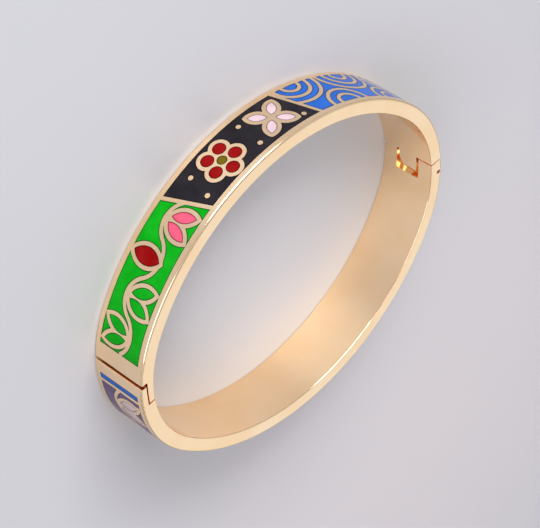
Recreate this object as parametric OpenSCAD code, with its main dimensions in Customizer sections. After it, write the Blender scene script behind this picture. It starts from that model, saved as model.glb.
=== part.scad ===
// Hinged oval bangle with enamel cells, lying on its side.
// X runs from the clasp (-) to the hinge (+), the front half is on +Y, and Z is the bangle's own axis.
// The origin is on the surface that it lies on, at the middle of the oval.

/* [Oval] */
// Inside length, from the clasp end to the hinge end
inner_len = 60; // [59:0.5:61]
// Inside height, from the back half to the front half
inner_high = 50; // [49.5:0.5:50.5]

/* [Band] */
// Width of the band, along the bangle's axis
band_w = 9.8; // [9.4:0.1:10.4]
// Thickness of the band
wall = 2.4; // [2.3:0.05:2.6]
// Rounding of the two outer edges
outer_round = 0.35; // [0.2:0.05:0.5]
// Rounding of the two inner edges
inner_round = 0.15; // [0.1:0.05:0.2]

/* [Hinge] */
// How far the hinge seam lies below the middle of the oval
seam_drop = 1.3; // [1:0.1:1.6]
// Gap between the two halves at the hinge seam
seam_gap = 0.2; // [0.15:0.01:0.22]
// Distance from the seam to the pin's axis
pin_drop = 2.4; // [2.3:0.1:2.6]
// Distance from the outer face to the pin's axis
pin_inset = 0.75; // [0.7:0.05:0.8]
// Diameter of the pin
pin_d = 0.7; // [0.6:0.05:0.9]
// How far the pin's ends lie inside the rims
pin_sunk = 0.5; // [0.3:0.05:0.6]
// Radius of the knuckle's round end
knuckle_r = 1.75; // [1.65:0.05:1.8]
// Width of the knuckle
knuckle_w = 3.6; // [3.2:0.1:4]
// Gap between the knuckle and each ear
knuckle_gap = 0.42; // [0.3:0.02:0.5]
// Radius of the knuckle's far corner on the inner face
knuckle_corner = 2.2; // [1.6:0.1:2.4]
// Depth of that corner
knuckle_corner_deep = 0.8; // [0.6:0.1:0.8]
// Slope of the slot's floor, towards the inner face
slot_tilt = 16; // [14:1:18]
// Chamfer on the far ear, at the rim
ear_chamfer = 0.9; // [0.6:0.1:1]

/* [Clasp] */
// Height of the front half's outer end above the middle of the oval
clasp_high = 5.6; // [5.2:0.1:6]
// Width of the open seam on the outer face
clasp_gap = 0.7; // [0.5:0.05:0.8]
// How far the lip reaches under the back half, past the outer end
lip_len = 4.15; // [3.8:0.05:4.3]
// Clearance around the lip
lip_gap = 0.26; // [0.2:0.01:0.28]
// Depth of the lap between lip and cover, under the outer face at the end of the oval
lap_inset = 1.03; // [0.95:0.02:1.11]
// Bevel of the two outer edges at the open seam
mouth_bevel = 0.16; // [0.1:0.02:0.2]
// Thickness of the clasp tongue
tongue_t = 0.45; // [0.4:0.05:0.5]
// Width of the clasp tongue
tongue_w = 3.6; // [3:0.1:4.4]
// Length of the clasp tongue, about half of it inside the lip
tongue_len = 6.4; // [6:0.1:6.6]

/* [Enamel] */
// Plain metal along each edge of the outer face
border = 1; // [0.9:0.05:1.2]
// Depth of the cells
cell_deep = 0.6; // [0.5:0.05:0.7]
// Width of the metal walls between cells
wire = 0.6; // [0.45:0.05:0.6]
// How far the enamel lies under the walls
enamel_low = 0.03; // [0.02:0.01:0.05]
// Space around each enamel inlay
enamel_gap = 0.02; // [0.01:0.01:0.03]
// Tilt of the walls between the colour fields, but for the straight strip at the clasp
slant = 18; // [10:1:25]
// Rise of each wave of the vines
vine_rise = 1.6; // [1.4:0.1:1.8]
// Usual length of a wave
wave_len = 6.1; // [6:0.1:6.2]
// Radius of the metal pins that stand in the enamel
dot_r = 0.4; // [0.35:0.05:0.45]

/* [Hidden] */
$fn = 96;

// How far a cutter stands out of what it cuts, and how far one reaches past a part of the band
cut = 1;
reach = 10;

// Colours of the metal and of the enamel
GOLD = [0.91, 0.76, 0.55];
COLOURS = [
    ["green", [0.02, 0.66, 0.12]],
    ["black", [0.10, 0.10, 0.13]],
    ["blue", [0.16, 0.40, 0.80]],
    ["crimson", [0.62, 0.02, 0.03]],
    ["pink", [0.95, 0.40, 0.54]],
    ["olive", [0.48, 0.42, 0.04]],
    ["blush", [0.94, 0.84, 0.89]],
    ["purple", [0.38, 0.29, 0.47]],
    ["plum", [0.33, 0.20, 0.24]],
    ["sage", [0.50, 0.55, 0.48]]
];
function colour_of(name) = [for (c = COLOURS) if (c[0] == name) c[1]][0];

// The oval: the arcs of the ends and sides meet where 3, 4 and 5 give the angle, so that they fit exactly
end_x = inner_len - inner_high;
end_r = inner_high - inner_len / 2;
join = atan2(3, 4);
side_y = 3 / 4 * end_x;
side_r = end_r + 5 / 4 * end_x;

// Each arc as centre x, centre y, inside radius, first angle, sweep.
// The last one is the first again, one turn later, so that a run may pass the hinge.
ARCS = [
    [end_x, 0, end_r, -join, 2 * join],
    [0, -side_y, side_r, join, 180 - 2 * join],
    [-end_x, 0, end_r, 180 - join, 2 * join],
    [0, side_y, side_r, 180 + join, 180 - 2 * join],
    [end_x, 0, end_r, 360 - join, 2 * join]
];

// A run is a length along the outer face, from 0 at the hinge end round over the front half
function arc_run(i) = ARCS[i][4] * PI / 180 * (ARCS[i][2] + wall);
function run_start(i) = i == 0 ? -arc_run(0) / 2 : run_start(i - 1) + arc_run(i - 1);
STARTS = [for (i = [0 : len(ARCS)]) run_start(i)];
function arc_at(run) = max([for (i = [0 : len(ARCS) - 1]) run >= STARTS[i] ? i : 0]);
function angle_on(i, run) = ARCS[i][3] + (run - STARTS[i]) * 180 / PI / (ARCS[i][2] + wall);
function angle_at(run) = angle_on(arc_at(run), run);
function point_at(run) = let (a = ARCS[arc_at(run)], t = angle_at(run), r = a[2] + wall)
    [a[0] + r * cos(t), a[1] + r * sin(t)];

// The hinge: the pin's place, and what clears it
seam_y = -seam_drop;
pin_y = seam_y - pin_drop;
pin_x = end_x + sqrt(pow(end_r + wall - pin_inset, 2) - pow(pin_y, 2));
knuckle_z = (band_w - knuckle_w) / 2;
knuckle_past_pin = 0.6;
knuckle_end = pin_y - knuckle_past_pin;
running_play = 0.1;
seat_play = 0.04;
knuckle_bore = pin_d + running_play;
ear_bore = pin_d + seat_play;
relief_play = 0.03;
ear_relief = pin_drop - seam_gap / 2 - relief_play;

// The clasp: where the lip and the cover end, and the tongue's place and seats
lip_end = clasp_high - lip_len;
cover_end = clasp_high - clasp_gap;
lap_r = pin_x + inner_len / 2 + wall - lap_inset;
tongue_cover = 0.4;
tongue_r = lap_r - tongue_cover - tongue_t;
tongue_tip = -2;
tongue_seat = 0.02;

// Where the enamel panels and the band's halves start and stop, as runs
front_first = 3.5;
front_last = 84.85;
back_first = 90.5;
strip_end = 91.85;
back_last = 177;
end_run = 8;
mid = band_w / 2;
panel_h = band_w - 2 * border;

// The ripples: distance between centres, and the radii from each edge
ripple_step = 5.2;
LOW_RIPPLES = [1.6, 3.2, 4.8];
HIGH_RIPPLES = [1.9, 3.5];

// Colour fields: half, colour, first run, last run, filling
FIELDS = [
    ["front", "green", front_first, 13, "plain"],
    ["front", "blue", 13, 37.5, "ripples"],
    ["front", "black", 37.5, 60.5, "plain"],
    ["front", "green", 60.5, front_last, "vine"],
    ["back", "blue", back_first, strip_end, "plain"],
    ["back", "purple", strip_end, 107, "vine"],
    ["back", "plum", 107, 129, "plain"],
    ["back", "sage", 129, 147, "ripples"],
    ["back", "blue", 147, 160.2, "vine"],
    ["back", "green", 160.2, back_last, "plain"]
];

// Leaves in pairs: half, colour, run, side of the vine. The pair stands in the hollow of a wave.
LEAF_PAIRS = [
    ["front", "pink", 63.6, 1],
    ["front", "green", 75.7, 1],
    ["front", "green", 81.8, -1],
    ["back", "blush", 95.7, 1],
    ["back", "pink", 103.2, -1],
    ["back", "green", 150.3, 1]
];
leaf_len = 4.2;
leaf_wide = 1.8;
leaf_apart = 1.15;
leaf_rise = 1.2;
leaf_lean = 20;
foot_r = 0.45;
foot_drop = 0.05;

// Single buds: half, colour, run. Each hangs in the hollow under a wave.
BUDS = [
    ["front", "crimson", 69.7],
    ["back", "crimson", 156.9]
];
bud_len = 5;
bud_wide = 2.7;
bud_drop = 1;

// Stars of four petals: half, colour, run
STARS = [
    ["front", "crimson", 8.2],
    ["front", "blush", 42.4],
    ["back", "blush", 125],
    ["back", "crimson", 166]
];
star_r = 2.05;
star_len = 3;
star_wide = 1.6;

// Flowers of five round petals and an olive eye: half, colour, run
FLOWERS = [
    ["front", "crimson", 52.6],
    ["back", "pink", 117.6]
];
flower_r = 2.15;
flower_petal = 1.05;
flower_eye = 0.8;

// Metal pins in the plain fields: run, height
PINS = [[58.1, 7], [57.2, 2.9], [47.2, 7.3], [46.8, 2.6], [38.6, 7.6], [112.6, 2.6], [121.6, 7.6]];

// All petals: half, colour, run, height, turn, length, width
PETALS = concat(
    [for (p = LEAF_PAIRS) for (k = [-1, 1])
        [p[0], p[1], p[2] + leaf_apart * k, mid + leaf_rise * p[3], 90 - leaf_lean * p[3] * k,
            leaf_len, leaf_wide]],
    [for (b = BUDS) [b[0], b[1], b[2], mid - bud_drop, 90, bud_len, bud_wide]],
    [for (s = STARS) for (t = [45 : 90 : 315])
        [s[0], s[1], s[2] + star_r * cos(t), mid + star_r * sin(t), t, star_len, star_wide]]
);

// All discs: half, colour, run, height, radius
DISCS = concat(
    [for (f = FLOWERS) [f[0], "olive", f[2], mid, flower_eye]],
    [for (f = FLOWERS) for (t = [18 : 72 : 306])
        [f[0], f[1], f[2] + flower_r * cos(t), mid + flower_r * sin(t), flower_petal]]
);

// All metal dots: run, height, radius. A pair of leaves has one at its foot.
DOTS = concat(
    [for (p = PINS) [p[0], p[1], dot_r]],
    [for (p = LEAF_PAIRS) [p[2], mid - (leaf_rise + foot_drop) * p[3], foot_r]]
);

// Sweeps a profile, drawn as offset from the inner face against Z, along the oval between two runs.
// An arc that only ends at a joint is swept back from there, so that both arcs meet in the same plane.
module sweep_run(from, to) {
    for (i = [0 : len(ARCS) - 1]) {
        first = max(from, STARTS[i]);
        last = min(to, STARTS[i + 1]);
        back = first > STARTS[i] && to > STARTS[i + 1];
        if (last > first)
            translate([ARCS[i][0], ARCS[i][1], 0])
                rotate([0, 0, angle_on(i, back ? last : first)])
                    mirror([0, back ? 1 : 0, 0])
                        rotate_extrude(angle = angle_on(i, last) - angle_on(i, first))
                            translate([ARCS[i][2], 0])
                                children();
    }
}

// Puts a shape on the outer face, with local X along the run, local Y up and local Z outwards
module on_face(run, high) {
    p = point_at(run);
    translate([p[0], p[1], high])
        rotate([90, 0, angle_at(run) + 90])
            children();
}

// Makes a flat shape on the outer face into a cutter through the cell layer
module through_cells() {
    linear_extrude(4 * cut, center = true)
        children();
}

// A block through the whole width of the band
module across(x, y, long_x, long_y) {
    translate([x, y, -cut])
        cube([long_x, long_y, band_w + 2 * cut]);
}

// One corner of the band's profile, as the material outside a fillet
module corner(x, y, flip_x, flip_y, r) {
    translate([x, y])
        mirror([flip_x, 0])
            mirror([0, flip_y])
                difference() {
                    translate([-cut, -cut])
                        square(cut + r);
                    translate([r, r])
                        circle(r, $fn = 48);
                    translate([r, -2 * cut])
                        square(4 * cut);
                    translate([-2 * cut, r])
                        square(4 * cut);
                }
}

// The band's cross section with its rounded edges
module band_profile() {
    difference() {
        square([wall, band_w]);
        corner(0, 0, 0, 0, inner_round);
        corner(0, band_w, 0, 1, inner_round);
        corner(wall, 0, 1, 0, outer_round);
        corner(wall, band_w, 1, 1, outer_round);
    }
}

// The band over the front, from a little past one end of the oval to a little past the other
module half_band() {
    for (side = [0, 1])
        mirror([side, 0, 0])
            intersection() {
                across(0, -inner_len, inner_len, 2 * inner_len);
                sweep_run(-end_run, STARTS[1] + arc_run(1) / 2 + cut)
                    band_profile();
            }
}

// The layer of the band that holds the cells
module cell_layer(from, to, low, top, inset) {
    sweep_run(from, to)
        translate([wall - low, border + inset])
            square([low + top, panel_h - 2 * inset]);
}

// A block that holds everything on one side of a slanted wall in the outer face
module beyond(run, side, gap) {
    on_face(run, mid)
        rotate([0, 0, run == strip_end ? 0 : slant])
            translate([side * (2 * reach + gap), 0, 0])
                cube(4 * reach, center = true);
}

// A pointed petal along X, grown on all sides
module petal_shape(long, wide, grow) {
    r = (long * long + wide * wide) / (4 * wide);
    intersection() {
        translate([0, r - wide / 2])
            circle(r + grow);
        translate([0, wide / 2 - r])
            circle(r + grow);
    }
}

module petal(p, grow) {
    on_face(p[2], p[3])
        rotate([0, 0, p[4]])
            through_cells()
                petal_shape(p[5], p[6], grow);
}

module disc(run, high, r) {
    on_face(run, high)
        cylinder(r = r, h = 4 * cut, center = true, $fn = 48);
}

// The upper part of a ring of wire, down to a line that lies drop above the ring's centre
module arc_line(r, drop, grow) {
    difference() {
        circle(r + wire / 2 + grow);
        circle(r - wire / 2 - grow);
        translate([-2 * r, drop - 4 * r - grow])
            square(4 * r);
    }
}

// The wave of a vine in a field, one arc for each lobe
module vine(from, to, grow) {
    lobes = round((to - from) / wave_len);
    lobe = (to - from) / lobes;
    r = (lobe * lobe / 4 + vine_rise * vine_rise) / (2 * vine_rise);
    for (i = [0 : lobes - 1])
        on_face(to - (i + 0.5) * lobe, mid)
            mirror([0, i % 2, 0])
                translate([0, vine_rise - r, 0])
                    through_cells()
                        arc_line(r, r - vine_rise, grow);
}

// Round ripples that start from the lower edge of a field, and smaller ones between them from the upper
module ripples(from, to, grow) {
    for (i = [0 : floor((to - from) / ripple_step)])
        on_face(to - (i + 0.5) * ripple_step, border + i % 2 * panel_h)
            for (r = i % 2 == 0 ? LOW_RIPPLES : HIGH_RIPPLES)
                through_cells()
                    difference() {
                        circle(r + wire / 2 + grow);
                        circle(r - wire / 2 - grow);
                    }
}

// The walls round the motifs that stand in one field
module walls(f, grow) {
    for (p = PETALS)
        if (p[2] > f[2] && p[2] < f[3])
            petal(p, wire + grow);
    for (d = DISCS)
        if (d[2] > f[2] && d[2] < f[3])
            disc(d[2], d[3], d[4] + wire + grow);
    for (d = DOTS)
        if (d[0] > f[2] && d[0] < f[3])
            disc(d[0], d[1], d[2] + grow);
}

// One colour field without its walls; grow leaves a space round an inlay
module field(f, low, top, grow) {
    first = f[2] == front_first || f[2] == back_first;
    last = f[3] == front_last || f[3] == back_last;
    difference() {
        cell_layer(f[2] - (first ? -grow : 4 * cut), f[3] + (last ? -grow : 4 * cut), low, top, grow);
        if (!first)
            beyond(f[2], -1, -wire / 2 - grow);
        if (!last)
            beyond(f[3], 1, -wire / 2 - grow);
        if (f[4] == "vine")
            vine(f[2], f[3], grow);
        if (f[4] == "ripples")
            ripples(f[2], f[3], grow);
        walls(f, grow);
    }
}

// The petals and discs of one half, of one colour or of all
module motifs(half, colour, low, top, grow) {
    for (p = PETALS)
        if (p[0] == half && (colour == "all" || p[1] == colour))
            intersection() {
                cell_layer(p[2] - 4 * cut, p[2] + 4 * cut, low, top, grow);
                petal(p, -grow);
            }
    for (d = DISCS)
        if (d[0] == half && (colour == "all" || d[1] == colour))
            intersection() {
                cell_layer(d[2] - 4 * cut, d[2] + 4 * cut, low, top, grow);
                disc(d[2], d[3], d[4] - grow);
            }
}

// The hollows that the enamel fills
module cells(half) {
    for (f = FIELDS)
        if (f[0] == half)
            field(f, cell_deep, cut, 0);
    motifs(half, "all", cell_deep, cut, 0);
}

// All the enamel of one colour on one half
module enamel(half, colour) {
    color(colour_of(colour)) {
        for (f = FIELDS)
            if (f[0] == half && f[1] == colour)
                field(f, cell_deep - enamel_gap, -enamel_low, enamel_gap);
        motifs(half, colour, cell_deep - enamel_gap, -enamel_low, enamel_gap);
    }
}

// A disc about the hinge pin's axis, for all that slides past the other half
module about_pin(r, z, h) {
    translate([pin_x, pin_y, z])
        cylinder(r = r, h = h, $fn = 360);
}

// What lies below the pin, round the knuckle's end
module below_knuckle() {
    difference() {
        translate([pin_x - reach, pin_y - reach, knuckle_z - cut])
            cube([2 * reach, reach, knuckle_w + 2 * cut]);
        translate([pin_x, pin_y, 0])
            cylinder(r = knuckle_r, h = band_w);
    }
}

// The rounded far corner of the knuckle, cut into the inner face only
module knuckle_round() {
    inside = end_x + end_r - cut;
    difference() {
        translate([inside, knuckle_end - 2 * cut, knuckle_z - cut])
            cube([cut + knuckle_corner_deep, 2 * cut + knuckle_corner, cut + knuckle_corner]);
        translate([inside - cut, knuckle_end + knuckle_corner, knuckle_z + knuckle_corner])
            rotate([0, 90, 0])
                cylinder(r = knuckle_corner, h = 4 * cut);
    }
}

// The slot between the ears, round the knuckle
module knuckle_slot() {
    translate([pin_x, pin_y, knuckle_z - knuckle_gap])
        rotate([0, 0, -slot_tilt])
            translate([-reach, -knuckle_r - seam_gap, 0])
                cube([2 * reach, 2 * reach, knuckle_w + 2 * knuckle_gap]);
}

// The round relief of the ears' outer corners, which lets the front half turn past them
module ear_corners() {
    difference() {
        across(pin_x, pin_y, reach, reach);
        about_pin(ear_relief, -2 * cut, band_w + 4 * cut);
    }
}

// The chamfer of the far ear's inner edge, widest at the rim and gone at the slot
module ear_edge() {
    turn = atan2(ear_chamfer / sqrt(2), knuckle_z);
    translate([end_x + end_r, seam_y - seam_gap / 2, knuckle_z])
        rotate([0, 0, 45])
            rotate([-turn, 0, 0])
                translate([-3 * cut, 0, -6 * cut])
                    cube([6 * cut, 3 * cut, 12 * cut]);
}

// All of the clasp end below a height
module clasp_below(y) {
    across(-inner_len / 2 - 2 * wall, y - 3 * reach, 2 * reach, 3 * reach);
}

// The bevel of an outer edge at the open seam, as a square bar that stands on its corner
module mouth_edge(y) {
    side = sqrt(2) * mouth_bevel;
    translate([-end_x - sqrt(pow(end_r + wall, 2) - y * y), y, -cut])
        rotate([0, 0, 45])
            translate([-side / 2, -side / 2, 0])
                cube([side, side, band_w + 2 * cut]);
}

// The tongue's space, swept about the pin's axis; grow is the room left round it
module tongue_bar(grow, top) {
    difference() {
        translate([-inner_len / 2 - 2 * wall, tongue_tip - grow, mid - tongue_w / 2 - grow])
            cube([2 * reach, top - tongue_tip + grow, tongue_w + 2 * grow]);
        about_pin(tongue_r - grow, 0, band_w);
        difference() {
            translate([-inner_len / 2 - 3 * wall, tongue_tip - cut, 0])
                cube([3 * reach, 2 * reach, band_w]);
            about_pin(tongue_r + tongue_t + grow, -cut, band_w + 2 * cut);
        }
    }
}

module front_half() {
    color(GOLD)
        difference() {
            half_band();
            for (z = [-cut, band_w - knuckle_z])
                translate([pin_x - reach, seam_y + seam_gap / 2 - 2 * reach, z])
                    cube([2 * reach, 2 * reach, knuckle_z + cut]);
            below_knuckle();
            knuckle_round();
            about_pin(knuckle_bore / 2, -cut, band_w + 2 * cut);
            difference() {
                clasp_below(clasp_high);
                about_pin(lap_r - lip_gap / 2, -2 * cut, band_w + 4 * cut);
            }
            clasp_below(lip_end);
            mouth_edge(clasp_high);
            tongue_bar(tongue_seat, tongue_tip + tongue_len + tongue_seat);
            cells("front");
        }
}

module back_half() {
    color(GOLD)
        difference() {
            mirror([0, 1, 0])
                half_band();
            across(-inner_len / 2 - 2 * wall, cover_end, 3 * reach, 3 * reach);
            intersection() {
                across(-inner_len / 2 - 2 * wall, lip_end - lip_gap, 2 * reach, 3 * reach);
                about_pin(lap_r + lip_gap / 2, -2 * cut, band_w + 4 * cut);
            }
            mouth_edge(cover_end);
            tongue_bar(lip_gap, cover_end);
            across(pin_x - reach, seam_y - seam_gap / 2, 2 * reach, 2 * reach);
            ear_corners();
            knuckle_slot();
            ear_edge();
            about_pin(ear_bore / 2, -cut, band_w + 2 * cut);
            cells("back");
        }
}

module hinge_pin() {
    color(GOLD)
        translate([pin_x, pin_y, pin_sunk])
            cylinder(d = pin_d, h = band_w - 2 * pin_sunk, $fn = 48);
}

module clasp_tongue() {
    color(GOLD)
        tongue_bar(0, tongue_tip + tongue_len);
}

front_half();
back_half();
hinge_pin();
clasp_tongue();
enamel("front", "green");  // front_green
enamel("front", "black");  // front_black
enamel("front", "blue");  // front_blue
enamel("front", "crimson");  // front_crimson
enamel("front", "pink");  // front_pink
enamel("front", "olive");  // front_olive
enamel("front", "blush");  // front_blush
enamel("back", "blue");  // back_blue
enamel("back", "purple");  // back_purple
enamel("back", "plum");  // back_plum
enamel("back", "sage");  // back_sage
enamel("back", "green");  // back_green
enamel("back", "blush");  // back_blush
enamel("back", "pink");  // back_pink
enamel("back", "crimson");  // back_crimson
enamel("back", "olive");  // back_olive
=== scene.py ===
import math
import bmesh
import bpy
import numpy as np
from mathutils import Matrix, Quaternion, Vector
from mathutils.geometry import delaunay_2d_cdt


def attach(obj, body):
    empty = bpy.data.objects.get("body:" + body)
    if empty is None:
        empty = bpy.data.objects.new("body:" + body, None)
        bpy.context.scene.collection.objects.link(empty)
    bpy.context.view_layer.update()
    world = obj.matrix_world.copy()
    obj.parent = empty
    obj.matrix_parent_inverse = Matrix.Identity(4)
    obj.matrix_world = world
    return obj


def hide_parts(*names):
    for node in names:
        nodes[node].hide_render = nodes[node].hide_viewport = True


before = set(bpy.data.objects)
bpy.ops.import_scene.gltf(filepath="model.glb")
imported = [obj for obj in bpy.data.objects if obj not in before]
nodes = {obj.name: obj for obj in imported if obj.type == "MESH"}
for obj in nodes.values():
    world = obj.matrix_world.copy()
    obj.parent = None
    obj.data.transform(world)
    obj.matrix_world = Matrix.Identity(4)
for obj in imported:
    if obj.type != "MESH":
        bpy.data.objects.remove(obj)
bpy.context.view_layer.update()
scene = bpy.context.scene
MM = 0.001

# Camera, as the photograph was taken: over the front half, and turned so that the band stands up.
# Aim, distance, sensor and lens are in millimetres, the turn in degrees, nearest and farthest in metres.
CAMERA_AIM = (-1.1, 0.7, 4.9)
CAMERA_WAY = (-0.4139, 0.7397, 0.5306)
CAMERA_FAR = 313.6
CAMERA_TURN = 122.1
SENSOR = 36
LENS = 140
NEAREST = 0.01
FARTHEST = 20


def make_camera():
    towards = Vector(CAMERA_WAY).normalized()
    bpy.ops.object.camera_add(location=Vector(CAMERA_AIM) * MM + towards * CAMERA_FAR * MM)
    camera = bpy.context.object
    camera.name = "camera"
    camera.data.sensor_width = SENSOR
    camera.data.lens = LENS
    camera.data.clip_start = NEAREST
    camera.data.clip_end = FARTHEST
    turn = Quaternion((0, 0, 1), math.radians(CAMERA_TURN))
    camera.rotation_mode = "QUATERNION"
    camera.rotation_quaternion = (-towards).to_track_quat("-Z", "Y") @ turn
    scene.camera = camera


make_camera()


# Helpers for materials
def new_material(name):
    material = bpy.data.materials.new(name)
    material.use_nodes = True
    tree = material.node_tree
    return material, tree, tree.nodes["Principled BSDF"]


def feed(tree, socket, value):
    """Gives an input a link from another node, or a plain value."""
    if isinstance(value, bpy.types.NodeSocket):
        tree.links.new(value, socket)
    else:
        socket.default_value = value


def add(tree, kind, inputs):
    node = tree.nodes.new(kind)
    for name, value in inputs.items():
        feed(tree, node.inputs[name], value)
    return node


def math_node(tree, operation, *values):
    node = tree.nodes.new("ShaderNodeMath")
    node.operation = operation
    for socket, value in zip(node.inputs, values):
        feed(tree, socket, value)
    return node.outputs[0]


def place(tree):
    """The piece's own coordinates, in metres."""
    return tree.nodes.new("ShaderNodeTexCoord").outputs["Object"]


def noise(tree, where, scale, detail, rough=0.5):
    node = add(tree, "ShaderNodeTexNoise",
               {"Vector": where, "Scale": scale, "Detail": detail, "Roughness": rough})
    return node.outputs[0]


def stretch(tree, value, old, new):
    """Carries the range old over to the range new."""
    node = add(tree, "ShaderNodeMapRange",
               {"Value": value, "From Min": old[0], "From Max": old[1],
                "To Min": new[0], "To Max": new[1]})
    return node.outputs[0]


def blend_colours(tree, factor, first, second):
    """first and second are colours, or the first may come from another node."""
    node = tree.nodes.new("ShaderNodeMix")
    node.data_type = "RGBA"
    sockets = [s for s in node.inputs if s.type == "RGBA"]
    feed(tree, node.inputs[0], factor)
    feed(tree, sockets[0], first if isinstance(first, bpy.types.NodeSocket) else (*first, 1))
    feed(tree, sockets[1], (*second, 1))
    return next(s for s in node.outputs if s.type == "RGBA")


def bump(tree, height, strength, distance, before=None):
    node = add(tree, "ShaderNodeBump",
               {"Height": height, "Strength": strength, "Distance": distance})
    if before is not None:
        tree.links.new(before, node.inputs["Normal"])
    return node.outputs[0]


# Two ranges that hold most of a noise's values, and the range that they are stretched over
MIDDLE = (0.35, 0.65)
WIDER = (0.3, 0.7)
WHOLE = (0, 1)

# Polished gold plate: two near tones, soft waves of the buffing wheel, and hairlines round the band.
# The radius is in metres, and the last two values are the scale of the hairlines' noise.
GOLD_LIGHT = (1.0, 0.757, 0.49)
GOLD_DEEP = (0.98, 0.715, 0.435)
GOLD_ROUGH = (0.09, 0.16)
PIN_LIGHT = (0.30, 0.22, 0.14)
PIN_DEEP = (0.22, 0.15, 0.09)
PIN_ROUGH = (0.25, 0.40)
MEAN_RADIUS = 0.029
HAIR_LENGTHWISE = 220
HAIR_CROSSWISE = 5200


def along_band(tree):
    """Coordinates that run round the bangle, drawn out lengthwise for the hairlines."""
    x, y, z = add(tree, "ShaderNodeSeparateXYZ", {"Vector": place(tree)}).outputs
    angle = math_node(tree, "ARCTAN2", y, x)
    squares = math_node(tree, "ADD", math_node(tree, "MULTIPLY", x, x),
                        math_node(tree, "MULTIPLY", y, y))
    radius = math_node(tree, "SQRT", squares)
    join = add(tree, "ShaderNodeCombineXYZ", {
        "X": math_node(tree, "MULTIPLY", angle, HAIR_LENGTHWISE * MEAN_RADIUS),
        "Y": math_node(tree, "MULTIPLY", z, HAIR_CROSSWISE),
        "Z": math_node(tree, "MULTIPLY", radius, HAIR_CROSSWISE)})
    return join.outputs[0]


def gold_plate(name, light, deep, roughness):
    material, tree, shader = new_material(name)
    here = place(tree)
    cloud = stretch(tree, noise(tree, here, scale=160, detail=3), MIDDLE, WHOLE)
    feed(tree, shader.inputs["Base Color"], blend_colours(tree, cloud, light, deep))
    shader.inputs["Metallic"].default_value = 1
    hair = noise(tree, along_band(tree), scale=1, detail=3, rough=0.6)
    wear = noise(tree, here, scale=900, detail=4, rough=0.6)
    tone = math_node(tree, "MULTIPLY_ADD", hair, 0.5, math_node(tree, "MULTIPLY", wear, 0.5))
    feed(tree, shader.inputs["Roughness"], stretch(tree, tone, MIDDLE, roughness))
    wheel = noise(tree, here, scale=210, detail=1)
    waves = bump(tree, wheel, strength=0.18, distance=0.00012)
    lines = bump(tree, hair, strength=0.02, distance=0.00002, before=waves)
    feed(tree, shader.inputs["Normal"], lines)
    return material


band_gold = gold_plate("band_gold", GOLD_LIGHT, GOLD_DEEP, GOLD_ROUGH)
pin_gold = gold_plate("pin_gold", PIN_LIGHT, PIN_DEEP, PIN_ROUGH)
for name in ("front_half", "back_half", "clasp_tongue"):
    nodes[name].data.materials[0] = band_gold
nodes["hinge_pin"].data.materials[0] = pin_gold

# Hard enamel: glassy, with faint clouds of tone in each colour
ENAMELS = {
    "green": (0.000, 0.295, 0.005),
    "black": (0.012, 0.010, 0.014),
    "blue": (0.011, 0.095, 0.420),
    "crimson": (0.218, 0.000, 0.000),
    "pink": (0.590, 0.080, 0.146),
    "olive": (0.116, 0.080, 0.000),
    "blush": (0.525, 0.398, 0.440),
    "purple": (0.108, 0.069, 0.158),
    "plum": (0.085, 0.037, 0.052),
    "sage": (0.200, 0.245, 0.185),
}
LIGHTER = 1.06
LIFT = 0.004
DARKER = 0.90
# The share of its colour that the enamel's edge keeps beside the wall: painted shade
EDGE_PAINTED_SHADE = 0.3
GLASS_ROUGH = (0.16, 0.26)
GLASS = {"IOR": 1.5, "Specular IOR Level": 0.06, "Coat Weight": 0.05, "Coat Roughness": 0.06}


def enamel(name, colour):
    material, tree, shader = new_material(name)
    here = place(tree)
    lighter = tuple(min(1, c * LIGHTER + LIFT) for c in colour)
    darker = tuple(c * DARKER for c in colour)
    cloud = stretch(tree, noise(tree, here, scale=420, detail=3), MIDDLE, WHOLE)
    feed(tree, shader.inputs["Base Color"], blend_colours(tree, cloud, lighter, darker))
    grain = noise(tree, here, scale=1500, detail=2)
    feed(tree, shader.inputs["Roughness"], stretch(tree, grain, WIDER, GLASS_ROUGH))
    for socket, value in GLASS.items():
        shader.inputs[socket].default_value = value
    swell = bump(tree, noise(tree, here, scale=480, detail=2), strength=0.2, distance=0.00006)
    feed(tree, shader.inputs["Normal"], swell)
    feed(tree, shader.inputs["Coat Normal"], swell)
    return material


# The oval's outer face, in millimetres: four arcs, which meet at the angle of the 3, 4, 5 triangle
END_X = 10
SIDE_Y = 7.5
END_OUT = 22.4
SIDE_OUT = 34.9
RISE = 3
REACH = 4
TURN = math.atan2(RISE, REACH)
# Each arc has its centre, radius, first angle and last angle. The +X end is cut in two where the
# run begins, on the plain metal by the hinge, so no cell crosses that place.
ARCS = (
    (END_X, 0, END_OUT, 0, TURN),
    (0, -SIDE_Y, SIDE_OUT, TURN, math.pi - TURN),
    (-END_X, 0, END_OUT, math.pi - TURN, math.pi + TURN),
    (0, SIDE_Y, SIDE_OUT, math.pi + TURN, math.tau - TURN),
    (END_X, 0, END_OUT, math.tau - TURN, math.tau),
)
STARTS = [sum(arc[2] * (arc[4] - arc[3]) for arc in ARCS[:i]) for i in range(len(ARCS))]


def on_end(x, y):
    return REACH * abs(y) <= RISE * (abs(x) - END_X)


def outwards(point):
    """Which way the outer face looks at a place on the band."""
    x, y = point.x / MM, point.y / MM
    if on_end(x, y):
        way = Vector((math.copysign(abs(x) - END_X, x), y, 0))
    else:
        way = Vector((x, y + math.copysign(SIDE_Y, y), 0))
    return way.normalized()


def unroll(point):
    """The place on the flat strip: the run round the band from the +X end, and the height."""
    x, y = point.x / MM, point.y / MM
    if on_end(x, y):
        number = 2 if x < 0 else 0 if y >= 0 else 4
    else:
        number = 1 if y > 0 else 3
    centre_x, centre_y, radius, start, _ = ARCS[number]
    turn = math.atan2(y - centre_y, x - centre_x) % math.tau
    return STARTS[number] + radius * (turn - start), point.z / MM


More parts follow.
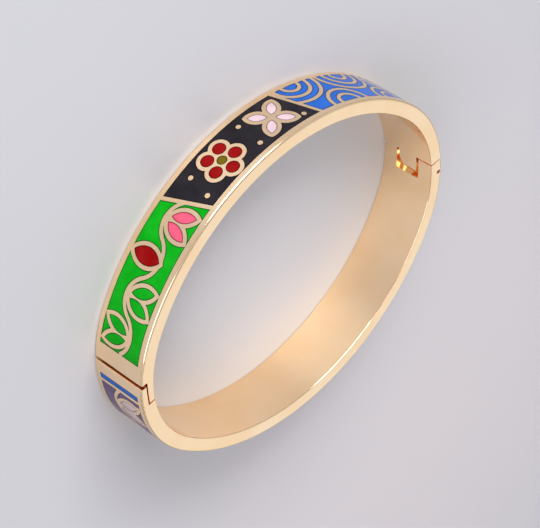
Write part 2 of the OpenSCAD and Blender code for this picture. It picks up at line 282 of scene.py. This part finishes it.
def roll(run, height, depth):
    """Back from the flat strip to the band, at a depth below its outer face."""
    number = max(i for i, start in enumerate(STARTS) if start <= run)
    centre_x, centre_y, radius, start, _ = ARCS[number]
    turn = start + (run - STARTS[number]) / radius
    reach = radius - depth
    return Vector((centre_x + reach * math.cos(turn),
                   centre_y + reach * math.sin(turn), height)) * MM


# Inlays: each enamel node is copied, and its outer face is made again on the flat strip, with a
# narrow edge that rises from the wall. That edge takes the enamel's colour darkened, as painted
# shade where the gold wall shades the enamel. Its rim is kept, so the piece stays closed. An inset
# crosses itself at sharp corners, so a point where the edge ends is kept only if it is as far from
# every wall as the edge is wide. Lengths are in millimetres.
EDGE_WIDE = 0.13
TOP_DEEP = 0.01
EDGE_STEP = 0.25
GRID_STEP = 0.8
SAME_PLACE = 0.001
SAME_FLAT_PLACE = 1e-6
# These three are shares of the edge's width
CLEAR_OF_WALL = 0.98
GRID_CLEAR = 3
POINTS_APART = 0.4
# 1 and the product of the two ways inwards at a corner: under this, its point would lie too far off
SHARPEST = 0.05
# The product of a face's normal and the way outwards, over which it is on the outer face
LOOKS_OUT = 0.9
TRIANGLES_OF_HULL = 0
GLASS_SLOT = 0
SHADED_EDGE_SLOT = 1


def clear_of(points, starts, ends):
    """How far each flat point is from the nearest rim edge."""
    along = ends - starts
    share = ((points[:, None] - starts) * along).sum(2) / (along ** 2).sum(1)
    foot = starts + share.clip(0, 1)[..., None] * along
    return np.sqrt(((points[:, None] - foot) ** 2).sum(2)).min(1)


def inside(points, starts, ends):
    """Whether each flat point is in the cell, by how many rim edges a line from it crosses."""
    level = points[:, None, 1]
    crosses = (starts[:, 1] > level) != (ends[:, 1] > level)
    rise = np.where(ends[:, 1] == starts[:, 1], 1, ends[:, 1] - starts[:, 1])
    where = starts[:, 0] + (level - starts[:, 1]) * (ends[:, 0] - starts[:, 0]) / rise
    return (crosses & (points[:, None, 0] < where)).sum(1) % 2 == 1


def beside_edges(starts, ends, inwards):
    """Points beside each rim edge, as far in as the edge is wide."""
    found = []
    for start, end, way in zip(starts, ends, inwards):
        steps = max(1, math.ceil(np.hypot(*(end - start)) / EDGE_STEP))
        found += [start + (end - start) * k / steps + way * EDGE_WIDE for k in range(steps + 1)]
    return found


def beside_corners(flat, links, inwards):
    """Points as far in as the edge is wide from both rim edges of a corner."""
    meets = (links[:, None, 0] == links[None, :, 1]) | (links[:, None] == links[None]).any(2)
    found = []
    for i, j in zip(*np.where(meets)):
        both = 1 + inwards[i] @ inwards[j]
        if i != j and both > SHARPEST:
            corner = flat[links[i, 0] if links[i, 0] in links[j] else links[i, 1]]
            found.append(corner + (inwards[i] + inwards[j]) * EDGE_WIDE / both)
    return found


def grid_points(starts, ends):
    """A grid over the whole cell, which keeps the top on the band's curve."""
    low, high = np.minimum(starts, ends).min(0), np.maximum(starts, ends).max(0)
    return [(run, height) for run in np.arange(low[0], high[0], GRID_STEP)
            for height in np.arange(low[1], high[1], GRID_STEP)]


def inner_points(flat, links, inwards):
    """The top's points: where the edge ends, and the grid, with none too near another."""
    starts, ends = flat[links[:, 0]], flat[links[:, 1]]
    line = np.array(beside_edges(starts, ends, inwards) + beside_corners(flat, links, inwards))
    line = line[(clear_of(line, starts, ends) > EDGE_WIDE * CLEAR_OF_WALL)
                & inside(line, starts, ends)]
    grid = np.array(grid_points(starts, ends))
    grid = grid[(clear_of(grid, starts, ends) > GRID_CLEAR * EDGE_WIDE)
                & inside(grid, starts, ends)]
    kept = []
    for point in [*line, *grid]:
        if all(abs(point[0] - other[0]) + abs(point[1] - other[1]) > EDGE_WIDE * POINTS_APART
               for other in kept):
            kept.append(point)
    return kept


def sides_of(face):
    return [frozenset(pair) for pair in zip(face, face[1:] + face[:1])]


def within(faces, links):
    """The triangles inside the rim, found from outside: each rim edge crossed changes the side."""
    rim = {frozenset(link) for link in links}
    owners = {}
    for number, face in enumerate(faces):
        for side in sides_of(face):
            owners.setdefault(side, []).append(number)
    in_cell = {}
    queue = [(both[0], side in rim) for side, both in owners.items() if len(both) == 1]
    for number, state in queue:
        if number in in_cell:
            continue
        in_cell[number] = state
        for side in sides_of(faces[number]):
            queue += [(other, state != (side in rim)) for other in owners[side] if other != number]
    return [face for number, face in enumerate(faces) if in_cell[number]]


def ways_inwards(flat, links, rim, mine):
    """For each rim edge, the flat way that leads into the cell."""
    starts, ends = flat[links[:, 0]], flat[links[:, 1]]
    along = (ends - starts) / np.hypot(*(ends - starts).T)[:, None]
    inwards = np.stack((-along[:, 1], along[:, 0]), 1)
    for i, edge in enumerate(rim):
        face = next(f for f in edge.link_faces if f in mine)
        far = next(v for v in face.verts if v not in edge.verts)
        if (np.array(unroll(far.co)) - starts[i]) @ inwards[i] < 0:
            inwards[i] = -inwards[i]
    return inwards


def pour(work, cell):
    """Fills one cell again: its rim stays, the edge rises from it, and the top lies inside that."""
    mine = set(cell)
    rim = [edge for face in cell for edge in face.edges
           if sum(f in mine for f in edge.link_faces) == 1]
    corners = list(dict.fromkeys(v for edge in rim for v in edge.verts))
    number = {v: i for i, v in enumerate(corners)}
    flat = np.array([unroll(v.co) for v in corners])
    links = np.array([[number[v] for v in edge.verts] for edge in rim])
    inner = inner_points(flat, links, ways_inwards(flat, links, rim, mine))
    spots = [Vector(p) for p in [*flat, *inner]]
    links = links.tolist()
    _, _, faces, sources, _, _ = delaunay_2d_cdt(spots, links, [], TRIANGLES_OF_HULL, SAME_FLAT_PLACE)
    faces = [[sources[i][0] for i in face] for face in faces]
    bmesh.ops.delete(work, geom=cell, context="FACES")
    verts = corners + [work.verts.new(roll(run, height, TOP_DEEP)) for run, height in inner]
    for face in within(faces, links):
        made = work.faces.new([verts[i] for i in face])
        # Faces that touch the rim take the darkened enamel, painted shade beside the wall
        made.material_index = SHADED_EDGE_SLOT if min(face) < len(corners) else GLASS_SLOT


def cells_of(work):
    """The outer faces of the enamel, as one list for each cell."""
    outer = [f for f in work.faces
             if f.normal.dot(outwards(f.calc_center_median())) > LOOKS_OUT]
    left = set(outer)
    cells = []
    for first in outer:
        if first not in left:
            continue
        left.remove(first)
        cell = [first]
        for face in cell:
            for other in [f for edge in face.edges for f in edge.link_faces]:
                if other in left:
                    left.remove(other)
                    cell.append(other)
        cells.append(cell)
    return cells


def pour_all(mesh):
    work = bmesh.new()
    work.from_mesh(mesh)
    bmesh.ops.remove_doubles(work, verts=work.verts, dist=SAME_PLACE * MM)
    for face in work.faces:
        face.material_index = GLASS_SLOT
    for cell in cells_of(work):
        pour(work, cell)
    work.normal_update()
    work.to_mesh(mesh)
    work.free()


def round_over(mesh):
    """Shades the top with the band's own curve, and leaves the other faces flat."""
    mesh.shade_smooth()
    normals = [Vector((0, 0, 1))] * len(mesh.loops)
    for face in mesh.polygons:
        top = (face.material_index == GLASS_SLOT
               and face.normal.dot(outwards(face.center)) > LOOKS_OUT)
        for loop in face.loop_indices:
            corner = mesh.vertices[mesh.loops[loop].vertex_index].co
            normals[loop] = outwards(corner) if top else face.normal.copy()
    mesh.normals_split_custom_set(normals)


# edge is the darkened enamel that paints the shade on each cell's edge beside the wall
def inlay(body, colour, glass, edge):
    node = body + "_" + colour
    bpy.ops.object.select_all(action="DESELECT")
    piece = bpy.data.objects.new("inlay_" + node, nodes[node].data.copy())
    scene.collection.objects.link(piece)
    bpy.context.view_layer.objects.active = piece
    piece.select_set(True)
    bpy.ops.mesh.customdata_custom_splitnormals_clear()
    piece.data.materials.clear()
    piece.data.materials.append(glass)
    piece.data.materials.append(edge)
    pour_all(piece.data)
    round_over(piece.data)
    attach(piece, body)
    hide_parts(node)


for colour, value in ENAMELS.items():
    glass = enamel("enamel_" + colour, value)
    # The edge's enamel is the colour darkened, painted shade where the gold wall meets it
    edge = enamel("shaded_edge_" + colour, tuple(c * EDGE_PAINTED_SHADE for c in value))
    for body in ("front", "back"):
        if body + "_" + colour in nodes:
            inlay(body, colour, glass, edge)

# Floor: plain pale paper with a slight sheen, and its size in metres
FLOOR_SIZE = 6
PAPER_LIGHT = (0.540, 0.537, 0.572)
PAPER_DEEP = (0.527, 0.525, 0.563)
SHEEN_ROUGH = 0.42
SHEEN_SHARE = 0.07


def make_floor():
    bpy.ops.object.select_all(action="DESELECT")
    bpy.ops.mesh.primitive_plane_add(size=FLOOR_SIZE, location=(0, 0, 0))
    floor = bpy.context.object
    floor.name = "floor"
    material, tree, shader = new_material("studio_paper")
    cloud = stretch(tree, noise(tree, place(tree), scale=14, detail=3), WIDER, WHOLE)
    feed(tree, shader.inputs["Base Color"], blend_colours(tree, cloud, PAPER_LIGHT, PAPER_DEEP))
    shader.inputs["Specular IOR Level"].default_value = 0
    sheen = add(tree, "ShaderNodeBsdfGlossy", {"Roughness": SHEEN_ROUGH})
    both = add(tree, "ShaderNodeMixShader",
               {0: SHEEN_SHARE, 1: shader.outputs[0], 2: sheen.outputs[0]})
    feed(tree, tree.nodes["Material Output"].inputs["Surface"], both.outputs[0])
    floor.data.materials.append(material)


# Light: a pale room whose walls are brighter than its ceiling and its lowest part, and four soft boxes.
# The walls and the ceiling each begin over a range of heights, from 0, level, to 1, overhead.
ROOM_LOW = (0.45, 0.45, 0.47)
ROOM_WALLS = (1.0, 1.0, 1.03)
ROOM_CEILING = (0.75, 0.76, 0.80)
WALLS_BEGIN = (0.10, 0.34)
CEILING_BEGINS = (0.65, 0.95)
ROOM_STRENGTH = 0.66
MIDDLE_OF_RING = (0, 0, 0)
ALL_ROUND = 180
# Each has a name, its spot, aim, width and height in metres, its watts, colour, and beam in degrees
SOFT_BOXES = (
    ("key", (0.09, 0.83, 0.34), MIDDLE_OF_RING, 0.7, 0.35, 10.2, (1, 0.985, 0.965), ALL_ROUND),
    ("side_fill", (-0.82, 0.22, 0.48), MIDDLE_OF_RING, 0.8, 0.5, 3.3, (0.97, 0.985, 1), ALL_ROUND),
    ("rim_light", (0.28, -0.89, 0.62), MIDDLE_OF_RING, 1.1, 0.7, 0.7, (0.93, 0.97, 1), ALL_ROUND),
    ("warm_glow", (0.06, -0.14, 0.5), (0.028, -0.078, 0), 0.1, 0.1, 0.006, (1, 0.5, 0.3), 18),
)


def soft_box(name, spot, aim, wide, high, watts, colour, beam):
    bpy.ops.object.light_add(type="AREA", location=spot)
    lamp = bpy.context.object
    lamp.name = name
    lamp.data.shape = "RECTANGLE"
    lamp.data.size = wide
    lamp.data.size_y = high
    lamp.data.energy = watts
    lamp.data.color = colour
    lamp.data.spread = math.radians(beam)
    lamp.rotation_mode = "QUATERNION"
    lamp.rotation_quaternion = (Vector(aim) - Vector(spot)).to_track_quat("-Z", "Y")


def make_room():
    world = bpy.data.worlds.new("studio")
    world.use_nodes = True
    scene.world = world
    tree = world.node_tree
    sky = tree.nodes["Background"]
    way = tree.nodes.new("ShaderNodeTexCoord").outputs["Generated"]
    height = add(tree, "ShaderNodeSeparateXYZ", {"Vector": way}).outputs[2]
    walls = blend_colours(tree, stretch(tree, height, WALLS_BEGIN, WHOLE), ROOM_LOW, ROOM_WALLS)
    room = blend_colours(tree, stretch(tree, height, CEILING_BEGINS, WHOLE), walls, ROOM_CEILING)
    feed(tree, sky.inputs["Color"], room)
    sky.inputs["Strength"].default_value = ROOM_STRENGTH


make_floor()
make_room()
for box in SOFT_BOXES:
    soft_box(*box)
scene.view_settings.view_transform = "Standard"
# Enough bounces for the light that runs on between the mirror-like walls
BOUNCES = 24
scene.cycles.max_bounces = BOUNCES
scene.cycles.glossy_bounces = BOUNCES
